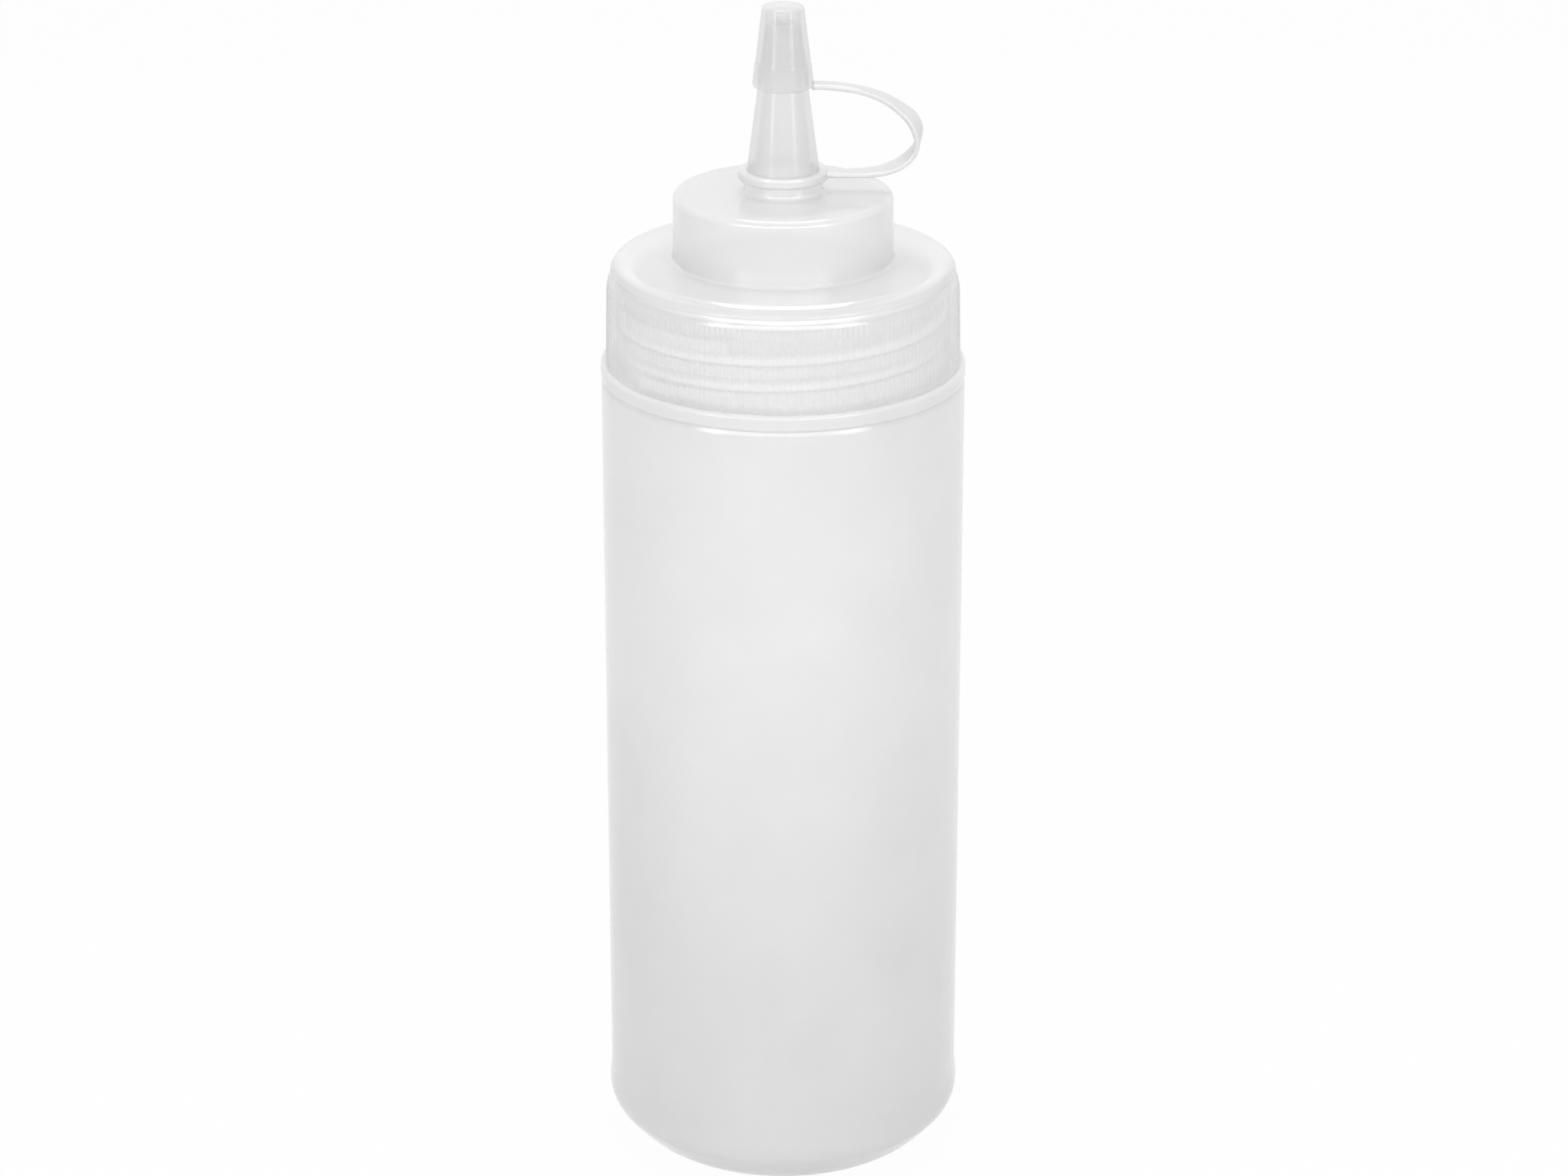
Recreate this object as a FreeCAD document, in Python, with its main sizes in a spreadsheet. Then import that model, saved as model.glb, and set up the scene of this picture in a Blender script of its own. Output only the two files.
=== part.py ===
import FreeCAD
import Part
import Sketcher
import math
import os

# A squeeze bottle for sauce, with a screw cap, a cone nozzle and a tip cap on a strap.
# Millimetres. The origin is the centre of the base, +Z is up, and the strap points along +X.

doc = FreeCAD.newDocument("sauce_dispenser")
sheet = doc.addObject("Spreadsheet::Sheet", "Sizes")

SIZES = {
    # Bottle wall and foot
    "body_radius": 35.0,
    "body_wall": 1.3,
    "body_height": 161.5,
    "base_wall": 1.8,
    "shoulder_wall": 1.95,
    "foot_swell": 0.3,
    "foot_bevel_width": 7.6,
    "foot_bevel_height": 8.5,
    "foot_band": 3.1,
    "foot_flare": 3.4,
    "foot_round": 5.6,
    "base_round": 13.0,
    "standing_width": 8.7,
    "hollow_height": 2.0,
    # Shoulder groove and flange
    "groove_depth": 0.4,
    "shoulder_slope": 1.3,
    "flange_slope": 0.6,
    "shoulder_round": 3.0,
    "flange_swell": 0.1,
    "flange_thickness": 3.1,
    "flange_round": 0.8,
    # Neck and thread
    "shoulder_width": 4.5,
    "neck_wall": 1.6,
    "neck_height": 16.4,
    "thread_pitch": 5.0,
    "thread_height": 1.1,
    "thread_root_width": 2.2,
    "thread_crest_width": 1.1,
    "thread_start": 2.3,
    "thread_finish": 3.6,
    "thread_start_angle": 126.0,
    "thread_sink": 0.3,
    # Fits of the cap on the bottle
    "thread_clearance": 0.45,
    "thread_drop": 1.9,
    "skirt_gap": 0.25,
    "seat_gap": 0.05,
    # Sealing washer
    "washer_thickness": 1.9,
    "washer_inner_lap": 0.3,
    "washer_outer_lap": 0.5,
    "washer_clearance": 0.2,
    "catch_height": 0.5,
    "catch_clearance": 0.25,
    # Skirt and top plate of the cap
    "skirt_wall": 2.0,
    "skirt_draft": 0.3,
    "crown_inset": 1.1,
    "crown_rise": 3.05,
    "crown_round": 4.0,
    "cap_thread_start": 1.4,
    "plate_overhang": 0.3,
    "plate_thickness": 1.7,
    "plate_edge": 2.1,
    "plate_round": 0.7,
    "plate_notch": 0.3,
    # Drum, collar and nozzle of the cap
    "drum_radius": 21.1,
    "drum_draft": 0.15,
    "drum_height": 13.05,
    "drum_wall": 1.4,
    "drum_round": 2.0,
    "drum_foot_round": 0.6,
    "collar_ledge": 0.7,
    "collar_height": 2.45,
    "collar_round": 1.0,
    "ring_groove_radius": 6.75,
    "ring_groove_height": 2.1,
    "nozzle_lip": 0.12,
    "nozzle_tip_radius": 3.2,
    "nozzle_length": 27.95,
    "nozzle_wall": 1.1,
    "nozzle_tip_round": 0.4,
    "hole_radius": 1.45,
    "hole_length": 3.0,
    # Tether ring and strap
    "ring_clearance": 0.07,
    "ring_end_gap": 0.1,
    "ring_wall": 1.73,
    "ring_round": 0.4,
    "strap_width": 3.5,
    "strap_thickness": 1.2,
    "strap_hinge_step": 1.05,
    "strap_reach": 15.5,
    "strap_lower_sag": 0.3,
    "strap_upper_sag": 3.9,
    "strap_knuckle_gap": 0.05,
    # Tip cap
    "tip_cap_cover": 12.5,
    "tip_cap_headroom": 2.4,
    "tip_cap_top_wall": 1.0,
    "tip_cap_wall": 0.6,
    "tip_cap_rim_height": 1.2,
    "tip_cap_rim_round": 0.7,
    "tip_cap_top_round": 0.5,
    "tip_cap_step_height": 4.5,
    "tip_cap_clearance": 0.15,
    "tip_cap_mouth_clearance": 0.35,
    "pin_clearance": 0.07,
    "pin_length": 4.1,
}

for row, (alias, number) in enumerate(SIZES.items(), start=1):
    sheet.set("A%d" % row, alias)
    sheet.set("B%d" % row, str(number))
    sheet.setAlias("B%d" % row, alias)

# Two round edges count as the same within this distance.
EDGE_MATCH = 1e-4

# Sizes that follow from the driving sizes, each written once.
derived = doc.addObject("App::VarSet", "Derived")

DERIVED = {
    # Heights above the base
    "flange_base": "Sizes.body_height + Sizes.flange_slope",
    "flange_top": "Sizes.body_height + Sizes.flange_thickness",
    "rim_top": "Derived.flange_top + Sizes.neck_height",
    "washer_base": "Derived.rim_top + Sizes.seat_gap",
    "skirt_base": "Derived.flange_top + Sizes.skirt_gap",
    # Bottle
    "foot_radius": "Sizes.body_radius + Sizes.foot_swell",
    "foot_band_top": "Sizes.foot_bevel_height + Sizes.foot_band",
    "foot_flare_top": "Derived.foot_band_top + Sizes.foot_flare",
    "standing_radius": "Derived.foot_radius - Sizes.foot_bevel_width",
    "hollow_radius": "Derived.standing_radius - Sizes.standing_width",
    "inner_radius": "Sizes.body_radius - Sizes.body_wall",
    "inner_foot_height": "Sizes.foot_bevel_height + Sizes.base_wall / 2",
    "inner_base_radius": "Derived.standing_radius - Sizes.body_wall / 2",
    "inner_hollow": "Sizes.hollow_height + Sizes.base_wall",
    "inner_shoulder": "Sizes.body_height - Sizes.shoulder_wall",
    "inner_neck_base": "Derived.flange_top - Sizes.shoulder_wall",
    "groove_radius": "Sizes.body_radius - Sizes.groove_depth",
    "wall_top": "Sizes.body_height - Sizes.shoulder_slope",
    "flange_radius": "Sizes.body_radius + Sizes.flange_swell",
    "neck_radius": "Sizes.body_radius - Sizes.shoulder_width",
    "mouth_radius": "Derived.neck_radius - Sizes.neck_wall",
    "thread_climb": "Sizes.neck_height - Sizes.thread_start - Sizes.thread_finish",
    "thread_centre": "Derived.flange_top + Sizes.thread_start",
    "thread_root": "Derived.neck_radius - Sizes.thread_sink",
    "thread_crest": "Derived.neck_radius + Sizes.thread_height",
    "thread_low": "Derived.thread_centre - Sizes.thread_root_width / 2",
    "thread_high": "Derived.thread_centre + Sizes.thread_root_width / 2",
    "thread_crest_low": "Derived.thread_centre - Sizes.thread_crest_width / 2",
    "thread_crest_high": "Derived.thread_centre + Sizes.thread_crest_width / 2",
    # Washer
    "washer_inner": "Derived.mouth_radius - Sizes.washer_inner_lap",
    "washer_outer": "Derived.neck_radius + Sizes.washer_outer_lap",
    # Cap, measured up from the foot of its skirt
    "catch_radius": "Derived.neck_radius + Sizes.catch_clearance",
    "pocket_radius": "Derived.washer_outer + Sizes.washer_clearance",
    "cap_bore": "Derived.neck_radius + Sizes.thread_height + Sizes.thread_clearance",
    "cap_crest": "Derived.cap_bore - Sizes.thread_height",
    "cap_thread_root": "Derived.cap_bore + Sizes.thread_sink",
    "cap_thread_low": "Sizes.cap_thread_start - Sizes.thread_root_width / 2",
    "cap_thread_high": "Sizes.cap_thread_start + Sizes.thread_root_width / 2",
    "cap_crest_low": "Sizes.cap_thread_start - Sizes.thread_crest_width / 2",
    "cap_crest_high": "Sizes.cap_thread_start + Sizes.thread_crest_width / 2",
    "washer_level": "Derived.washer_base - Derived.skirt_base",
    "ceiling": "Derived.washer_level + Sizes.washer_thickness + Sizes.seat_gap",
    "catch_top": "Derived.washer_level - Sizes.seat_gap",
    "catch_base": "Derived.catch_top - Sizes.catch_height",
    "bore_top": "Derived.catch_base - Derived.cap_bore + Derived.catch_radius",
    "cap_thread_turn": "360 / Sizes.thread_pitch * (Derived.skirt_base + Sizes.cap_thread_start"
                       " - Derived.thread_centre + Sizes.thread_drop)",
    "skirt_radius": "Derived.cap_bore + Sizes.skirt_wall",
    "skirt_top_radius": "Derived.skirt_radius - Sizes.skirt_draft",
    "notch_radius": "Derived.skirt_top_radius - Sizes.crown_inset",
    "plate_radius": "Derived.notch_radius + Sizes.plate_overhang",
    "plate_top": "Derived.ceiling + Sizes.plate_thickness",
    "plate_foot": "Derived.plate_top - Sizes.plate_edge",
    "notch_height": "Derived.plate_foot - Sizes.plate_notch",
    "skirt_straight": "Derived.notch_height - Sizes.crown_rise",
    "drum_top": "Derived.plate_top + Sizes.drum_height",
    "drum_top_radius": "Sizes.drum_radius - Sizes.drum_draft",
    "drum_inner_radius": "Derived.drum_top_radius - Sizes.drum_wall",
    "drum_ceiling": "Derived.drum_top - Sizes.drum_wall",
    "collar_radius": "Sizes.ring_groove_radius + Sizes.collar_ledge",
    "nozzle_base_radius": "Sizes.ring_groove_radius + Sizes.nozzle_lip",
    "ring_seat": "Derived.drum_top + Sizes.collar_height",
    "groove_top": "Derived.ring_seat + Sizes.ring_groove_height",
    "nozzle_tip": "Derived.groove_top + Sizes.nozzle_length",
    "nozzle_taper": "(Derived.nozzle_base_radius - Sizes.nozzle_tip_radius) / Sizes.nozzle_length",
    "channel_radius": "Sizes.ring_groove_radius - Sizes.nozzle_wall",
    "hole_base": "Derived.nozzle_tip - Sizes.hole_length",
    "hole_base_radius": "Sizes.nozzle_tip_radius + Derived.nozzle_taper * Sizes.hole_length"
                        " - Sizes.nozzle_wall",
    "hole_neck": "Derived.hole_base + Derived.hole_base_radius - Sizes.hole_radius",
    # Tether, with the strap's two hinges one above the other
    "ring_base": "Derived.skirt_base + Derived.ring_seat + Sizes.ring_end_gap",
    "ring_thickness": "Sizes.ring_groove_height - 2 * Sizes.ring_end_gap",
    "ring_inner": "Sizes.ring_groove_radius + Sizes.ring_clearance",
    "ring_radius": "Derived.ring_inner + Sizes.ring_wall",
    "strap_hinge_radius": "Derived.ring_radius + Sizes.strap_hinge_step",
    "ring_middle": "(Derived.ring_inner + Derived.ring_radius) / 2",
    "tip_cap_base": "Derived.skirt_base + Derived.nozzle_tip - Sizes.tip_cap_cover",
    "strap_half": "Sizes.strap_thickness / 2",
    "strap_knuckle": "Derived.strap_half + Sizes.strap_knuckle_gap",
    "lower_hinge": "Derived.ring_base + Derived.ring_thickness / 2",
    "upper_hinge": "Derived.tip_cap_base + Derived.strap_half",
    "strap_rise": "(Derived.upper_hinge - Derived.lower_hinge) / 2",
    "elbow_height": "Derived.lower_hinge + Derived.strap_rise",
    "elbow_radius": "Derived.strap_hinge_radius + Sizes.strap_reach",
    "strap_half_width": "Sizes.strap_width / 2",
    "lower_end_rise": "Derived.strap_rise - Derived.strap_knuckle",
    "lower_bend": "Derived.lower_end_rise - Sizes.strap_lower_sag",
    "upper_end_reach": "Sizes.strap_reach - Derived.strap_knuckle",
    "upper_bend": "Derived.strap_rise - Sizes.strap_upper_sag",
    "ring_tab_end": "Derived.strap_hinge_radius - Derived.strap_knuckle",
    "ring_tab_low": "Derived.ring_thickness / 2 - Derived.strap_half",
    "ring_tab_high": "Derived.ring_thickness / 2 + Derived.strap_half",
    # Tip cap, measured up from its rim
    "tip_cap_ceiling": "Sizes.tip_cap_cover + Sizes.tip_cap_headroom",
    "tip_cap_top": "Derived.tip_cap_ceiling + Sizes.tip_cap_top_wall",
    "tip_cap_inner_top": "Sizes.nozzle_tip_radius + Sizes.tip_cap_clearance",
    "tip_cap_inner_step": "Derived.tip_cap_inner_top + Derived.nozzle_taper"
                          " * (Sizes.tip_cap_cover - Sizes.tip_cap_step_height)",
    "tip_cap_mouth": "Sizes.nozzle_tip_radius + Sizes.tip_cap_mouth_clearance"
                     " + Derived.nozzle_taper * Sizes.tip_cap_cover",
    "tip_cap_rim_radius": "Derived.tip_cap_mouth + Sizes.tip_cap_wall",
    "tip_cap_top_radius": "Derived.tip_cap_inner_top + Sizes.tip_cap_wall",
    "tip_cap_wide_step": "Derived.tip_cap_mouth - Derived.nozzle_taper * Sizes.tip_cap_step_height",
    "tip_cap_tab_start": "(Derived.tip_cap_mouth + Derived.tip_cap_rim_radius) / 2",
    "pin_radius": "Sizes.hole_radius - Sizes.pin_clearance",
    "pin_base": "Derived.tip_cap_ceiling - Sizes.pin_length",
}

for name in DERIVED:
    derived.addProperty("App::PropertyFloat", name, "Derived")
for name, formula in DERIVED.items():
    derived.setExpression(name, formula)
doc.recompute()


def number_of(name):
    """The present number of a named size, driving or derived."""
    if name in SIZES:
        return float(sheet.get(name))
    return float(getattr(derived, name))


def formula_of(name):
    """The expression that binds a dimension to a named size."""
    if name in SIZES:
        return "Sizes." + name
    return "Derived." + name


def new_body(label):
    """An empty body for one sub-part."""
    body = doc.addObject("PartDesign::Body", label)
    body.Label = label
    return body


def new_sketch(body, name, role):
    """A sketch on one of the body's own origin planes."""
    sketch = body.newObject("Sketcher::SketchObject", name)
    for plane in body.Origin.OriginFeatures:
        if plane.Role == role:
            sketch.AttachmentSupport = (plane, [""])
    sketch.MapMode = "FlatFace"
    return sketch


def pin_point(sketch, geometry, end, across, up):
    """Tie a sketch point to named sizes across and up from the origin; None lies on that axis.
    A name with a leading minus is measured the other way."""
    for kind, name, axis in (("DistanceX", across, -2), ("DistanceY", up, -1)):
        if name is None:
            sketch.addConstraint(Sketcher.Constraint("PointOnObject", geometry, end, axis))
        elif name.startswith("-"):
            size = number_of(name[1:])
            index = sketch.addConstraint(Sketcher.Constraint(kind, geometry, end, -1, 1, size))
            sketch.setExpression("Constraints[%d]" % index, formula_of(name[1:]))
        else:
            size = number_of(name)
            index = sketch.addConstraint(Sketcher.Constraint(kind, -1, 1, geometry, end, size))
            sketch.setExpression("Constraints[%d]" % index, formula_of(name))


def signed(name):
    """The number of a name that may have a leading minus, or zero for None."""
    if name is None:
        return 0.0
    if name.startswith("-"):
        return -number_of(name[1:])
    return number_of(name)


def draw_outline(sketch, corners):
    """A closed outline of straight lines with every corner tied to named sizes."""
    points = [FreeCAD.Vector(signed(across), signed(up), 0) for across, up in corners]
    count = len(points)
    for index in range(count):
        sketch.addGeometry(Part.LineSegment(points[index], points[(index + 1) % count]))
    for index in range(count):
        sketch.addConstraint(Sketcher.Constraint("Coincident", index, 2, (index + 1) % count, 1))
    for index, (across, up) in enumerate(corners):
        pin_point(sketch, index, 1, across, up)


def revolve(body, name, corners):
    """A solid of revolution about Z from an outline of (radius, height) corners."""
    sketch = new_sketch(body, name + "_outline", "XZ_Plane")
    draw_outline(sketch, corners)
    feature = body.newObject("PartDesign::Revolution", name)
    feature.Profile = sketch
    feature.ReferenceAxis = (sketch, ["V_Axis"])
    feature.Angle = 360
    doc.recompute()
    return feature


def round_corners(body, name, size, corners):
    """Fillets of one named radius on the round edges that lie at the given corners."""
    base = body.Tip
    names = []
    for radius_name, height_name in corners:
        radius = signed(radius_name)
        height = signed(height_name)
        for index, edge in enumerate(base.Shape.Edges, start=1):
            curve = edge.Curve
            if not isinstance(curve, Part.Circle):
                continue
            same_radius = abs(curve.Radius - radius) < EDGE_MATCH
            same_height = abs(curve.Center.z - height) < EDGE_MATCH
            if same_radius and same_height:
                names.append("Edge%d" % index)
    feature = body.newObject("PartDesign::Fillet", name)
    feature.Base = (base, names)
    feature.Radius = number_of(size)
    feature.setExpression("Radius", formula_of(size))
    doc.recompute()
    return feature


def wind_thread(body, name, corners):
    """A right-hand thread of the common pitch and climb from an outline of its section."""
    sketch = new_sketch(body, name + "_section", "XZ_Plane")
    draw_outline(sketch, corners)
    feature = body.newObject("PartDesign::AdditiveHelix", name)
    feature.Profile = sketch
    feature.ReferenceAxis = (sketch, ["V_Axis"])
    feature.Mode = "pitch-height-angle"
    feature.setExpression("Pitch", formula_of("thread_pitch"))
    feature.setExpression("Height", formula_of("thread_climb"))
    doc.recompute()
    return feature


def pad_across(body, name, sketch):
    """A pad as wide as the strap, half to each side of the strap's middle plane."""
    feature = body.newObject("PartDesign::Pad", name)
    feature.Profile = sketch
    feature.SideType = "Symmetric"
    feature.setExpression("Length", formula_of("strap_width"))
    doc.recompute()
    return feature


def add_knuckle(body, name, across, up):
    """The rounded end of a strap link, about its hinge."""
    sketch = new_sketch(body, name + "_outline", "XZ_Plane")
    centre = FreeCAD.Vector(signed(across), signed(up), 0)
    radius = number_of("strap_half")
    sketch.addGeometry(Part.Circle(centre, FreeCAD.Vector(0, 0, 1), radius))
    pin_point(sketch, 0, 3, across, up)
    index = sketch.addConstraint(Sketcher.Constraint("Radius", 0, radius))
    sketch.setExpression("Constraints[%d]" % index, formula_of("strap_half"))
    pad_across(body, name, sketch)


def add_tab(body, name, start, end, low, high):
    """A short straight piece of strap between two radii and two heights."""
    sketch = new_sketch(body, name + "_outline", "XZ_Plane")
    draw_outline(sketch, [(start, low), (end, low), (end, high), (start, high)])
    pad_across(body, name, sketch)


def draw_bend(sketch, bend, reach, rise, tight_first):
    """The path of one strap link: a tight arc that starts or ends upright, and a gentle arc that
    ends or starts level, tangent to each other."""
    tight = number_of(bend)
    across = number_of(reach) - tight
    up = number_of(rise) - tight
    gentle = tight + (across ** 2 + up ** 2) / (2 * up)
    turn = math.acos(across / (gentle - tight))
    axis = FreeCAD.Vector(0, 0, 1)
    if tight_first:
        tight_centre = FreeCAD.Vector(-tight, 0, 0)
        gentle_centre = FreeCAD.Vector(-number_of(reach), number_of(rise) - gentle, 0)
        arcs = [(tight_centre, tight, 0, turn), (gentle_centre, gentle, turn, math.pi / 2)]
        tight_arc, tight_end, gentle_arc, gentle_end = 0, 1, 1, 2
    else:
        tight_centre = FreeCAD.Vector(number_of(reach) - tight, number_of(rise), 0)
        gentle_centre = FreeCAD.Vector(0, gentle, 0)
        arcs = [(gentle_centre, gentle, -math.pi / 2, -turn), (tight_centre, tight, -turn, 0)]
        tight_arc, tight_end, gentle_arc, gentle_end = 1, 2, 0, 1
    for centre, radius, start, end in arcs:
        sketch.addGeometry(Part.ArcOfCircle(Part.Circle(centre, axis, radius), start, end))
    sketch.addConstraint(Sketcher.Constraint("Tangent", 0, 2, 1, 1))
    sketch.addConstraint(Sketcher.Constraint("Horizontal", tight_arc, 3, tight_arc, tight_end))
    sketch.addConstraint(Sketcher.Constraint("Vertical", gentle_arc, 3, gentle_arc, gentle_end))
    index = sketch.addConstraint(Sketcher.Constraint("Radius", tight_arc, tight))
    sketch.setExpression("Constraints[%d]" % index, formula_of(bend))
    pin_point(sketch, 0, 1, None, None)
    if tight_first:
        pin_point(sketch, 1, 2, "-" + reach, rise)
    else:
        pin_point(sketch, 1, 2, reach, rise)


def sweep_strap(body, name, role, half_width, half_height, path):
    """A flat band swept along a link's path from a section on the plane square to its start."""
    section = new_sketch(body, name + "_section", role)
    draw_outline(section, [("-" + half_width, "-" + half_height), (half_width, "-" + half_height),
                           (half_width, half_height), ("-" + half_width, half_height)])
    feature = body.newObject("PartDesign::AdditivePipe", name)
    feature.Profile = section
    feature.Spine = (path, ["Edge1", "Edge2"])
    doc.recompute()


# Bottle: wall, foot, flange and neck in one turned shape, with the thread wound on the neck.
bottle = new_body("bottle")
revolve(bottle, "bottle_wall", [
    (None, "hollow_height"),
    ("hollow_radius", None),
    ("standing_radius", None),
    ("foot_radius", "foot_bevel_height"),
    ("foot_radius", "foot_band_top"),
    ("body_radius", "foot_flare_top"),
    ("body_radius", "wall_top"),
    ("groove_radius", "body_height"),
    ("flange_radius", "flange_base"),
    ("flange_radius", "flange_top"),
    ("neck_radius", "flange_top"),
    ("neck_radius", "rim_top"),
    ("mouth_radius", "rim_top"),
    ("mouth_radius", "inner_neck_base"),
    ("inner_radius", "inner_shoulder"),
    ("inner_radius", "inner_foot_height"),
    ("inner_base_radius", "base_wall"),
    ("hollow_radius", "base_wall"),
    (None, "inner_hollow"),
])
round_corners(bottle, "foot_rounding", "foot_round", [("foot_radius", "foot_bevel_height")])
round_corners(bottle, "base_rounding", "base_round", [("standing_radius", None)])
round_corners(bottle, "shoulder_rounding", "shoulder_round", [("body_radius", "wall_top")])
round_corners(bottle, "flange_rounding", "flange_round",
              [("flange_radius", "flange_base"), ("flange_radius", "flange_top")])
wind_thread(bottle, "bottle_thread", [
    ("thread_root", "thread_low"),
    ("neck_radius", "thread_low"),
    ("thread_crest", "thread_crest_low"),
    ("thread_crest", "thread_crest_high"),
    ("neck_radius", "thread_high"),
    ("thread_root", "thread_high"),
])

# Sealing washer: a soft flat ring on the rim of the neck.
washer = new_body("sealing_washer")
revolve(washer, "washer_ring", [
    ("washer_inner", None),
    ("washer_outer", None),
    ("washer_outer", "washer_thickness"),
    ("washer_inner", "washer_thickness"),
])

# Screw cap: skirt, top plate, drum, collar and nozzle in one turned shape, threaded inside.
cap = new_body("screw_cap")
revolve(cap, "cap_wall", [
    ("skirt_radius", None),
    ("skirt_top_radius", "skirt_straight"),
    ("notch_radius", "notch_height"),
    ("plate_radius", "plate_foot"),
    ("plate_radius", "plate_top"),
    ("drum_radius", "plate_top"),
    ("drum_top_radius", "drum_top"),
    ("collar_radius", "drum_top"),
    ("collar_radius", "ring_seat"),
    ("ring_groove_radius", "ring_seat"),
    ("ring_groove_radius", "groove_top"),
    ("nozzle_base_radius", "groove_top"),
    ("nozzle_tip_radius", "nozzle_tip"),
    ("hole_radius", "nozzle_tip"),
    ("hole_radius", "hole_neck"),
    ("hole_base_radius", "hole_base"),
    ("channel_radius", "ring_seat"),
    ("channel_radius", "drum_ceiling"),
    ("drum_inner_radius", "drum_ceiling"),
    ("drum_inner_radius", "ceiling"),
    ("pocket_radius", "ceiling"),
    ("pocket_radius", "catch_top"),
    ("catch_radius", "catch_top"),
    ("catch_radius", "catch_base"),
    ("cap_bore", "bore_top"),
    ("cap_bore", None),
])
round_corners(cap, "crown_rounding", "crown_round", [("skirt_top_radius", "skirt_straight")])
round_corners(cap, "plate_rounding", "plate_round", [("plate_radius", "plate_top")])
round_corners(cap, "drum_foot_rounding", "drum_foot_round", [("drum_radius", "plate_top")])
round_corners(cap, "drum_rounding", "drum_round", [("drum_top_radius", "drum_top")])
round_corners(cap, "collar_rounding", "collar_round", [("collar_radius", "drum_top")])
round_corners(cap, "nozzle_tip_rounding", "nozzle_tip_round", [("nozzle_tip_radius", "nozzle_tip")])
wind_thread(cap, "cap_thread", [
    ("cap_thread_root", "cap_thread_low"),
    ("cap_thread_root", "cap_thread_high"),
    ("cap_bore", "cap_thread_high"),
    ("cap_crest", "cap_crest_high"),
    ("cap_crest", "cap_crest_low"),
    ("cap_bore", "cap_thread_low"),
])

# Tether ring: turns in the groove above the collar and carries the foot of the strap.
ring = new_body("tether_ring")
revolve(ring, "ring_wall", [
    ("ring_inner", None),
    ("ring_radius", None),
    ("ring_radius", "ring_thickness"),
    ("ring_inner", "ring_thickness"),
])
round_corners(ring, "ring_rounding", "ring_round",
              [("ring_radius", None), ("ring_radius", "ring_thickness")])
add_tab(ring, "ring_tab", "ring_middle", "ring_tab_end", "ring_tab_low", "ring_tab_high")

# Lower half of the strap: from its hinge at the ring out and up to the elbow.
lower = new_body("strap_lower")
lower_path = new_sketch(lower, "lower_path", "XZ_Plane")
draw_bend(lower_path, "lower_bend", "strap_reach", "lower_end_rise", tight_first=False)
sweep_strap(lower, "lower_band", "YZ_Plane", "strap_half_width", "strap_half", lower_path)
add_knuckle(lower, "lower_knuckle", None, None)

# Upper half of the strap: from the elbow up and back to the tip cap.
upper = new_body("strap_upper")
upper_path = new_sketch(upper, "upper_path", "XZ_Plane")
draw_bend(upper_path, "upper_bend", "upper_end_reach", "strap_rise", tight_first=True)
sweep_strap(upper, "upper_band", "XY_Plane", "strap_half", "strap_half_width", upper_path)
add_knuckle(upper, "upper_knuckle", None, None)

# Tip cap: a hollow cone over the nozzle with a pin that plugs its hole and a tab for the strap.
tip_cap = new_body("tip_cap")
revolve(tip_cap, "tip_cap_wall", [
    ("tip_cap_mouth", None),
    ("tip_cap_rim_radius", None),
    ("tip_cap_rim_radius", "tip_cap_rim_height"),
    ("tip_cap_top_radius", "tip_cap_top"),
    (None, "tip_cap_top"),
    (None, "pin_base"),
    ("pin_radius", "pin_base"),
    ("pin_radius", "tip_cap_ceiling"),
    ("tip_cap_inner_top", "tip_cap_ceiling"),
    ("tip_cap_inner_top", "tip_cap_cover"),
    ("tip_cap_inner_step", "tip_cap_step_height"),
    ("tip_cap_wide_step", "tip_cap_step_height"),
])
round_corners(tip_cap, "tip_cap_rim_rounding", "tip_cap_rim_round",
              [("tip_cap_rim_radius", "tip_cap_rim_height")])
round_corners(tip_cap, "tip_cap_top_rounding", "tip_cap_top_round",
              [("tip_cap_top_radius", "tip_cap_top")])
add_tab(tip_cap, "tip_cap_tab", "tip_cap_tab_start", "strap_hinge_radius", None, "strap_thickness")
add_knuckle(tip_cap, "tip_cap_knuckle", "strap_hinge_radius", "strap_half")

# Each sub-part stands on the one that carries it. The cap is turned so that the threads mesh.
bottle.setExpression("Placement.Rotation.Angle", "Sizes.thread_start_angle")
cap.setExpression("Placement.Rotation.Angle", "Sizes.thread_start_angle + Derived.cap_thread_turn")
heights = [(washer, "washer_base"), (cap, "skirt_base"), (ring, "ring_base"), (lower, "lower_hinge"),
           (upper, "elbow_height"), (tip_cap, "tip_cap_base")]
for body, height in heights:
    body.setExpression("Placement.Base.z", formula_of(height))
lower.setExpression("Placement.Base.x", formula_of("strap_hinge_radius"))
upper.setExpression("Placement.Base.x", formula_of("elbow_radius"))
doc.recompute()

# Nothing is written unless every object and every sub-part came out sound.
for item in doc.Objects:
    if "Invalid" in item.State or "Error" in item.State:
        raise RuntimeError("%s did not build: %s" % (item.Label, item.State))

os.makedirs("parts", exist_ok=True)
sub_parts = [bottle, washer, cap, ring, lower, upper, tip_cap]
for body in sub_parts:
    if body.Shape.isNull() or not body.Shape.isValid() or len(body.Shape.Solids) != 1:
        raise RuntimeError("%s is not one sound solid" % body.Label)
for body in sub_parts:
    body.Shape.exportStep("parts/%s.step" % body.Label)
    print("%-16s %10.1f mm3" % (body.Label, body.Shape.Volume))
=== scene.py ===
import math

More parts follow.
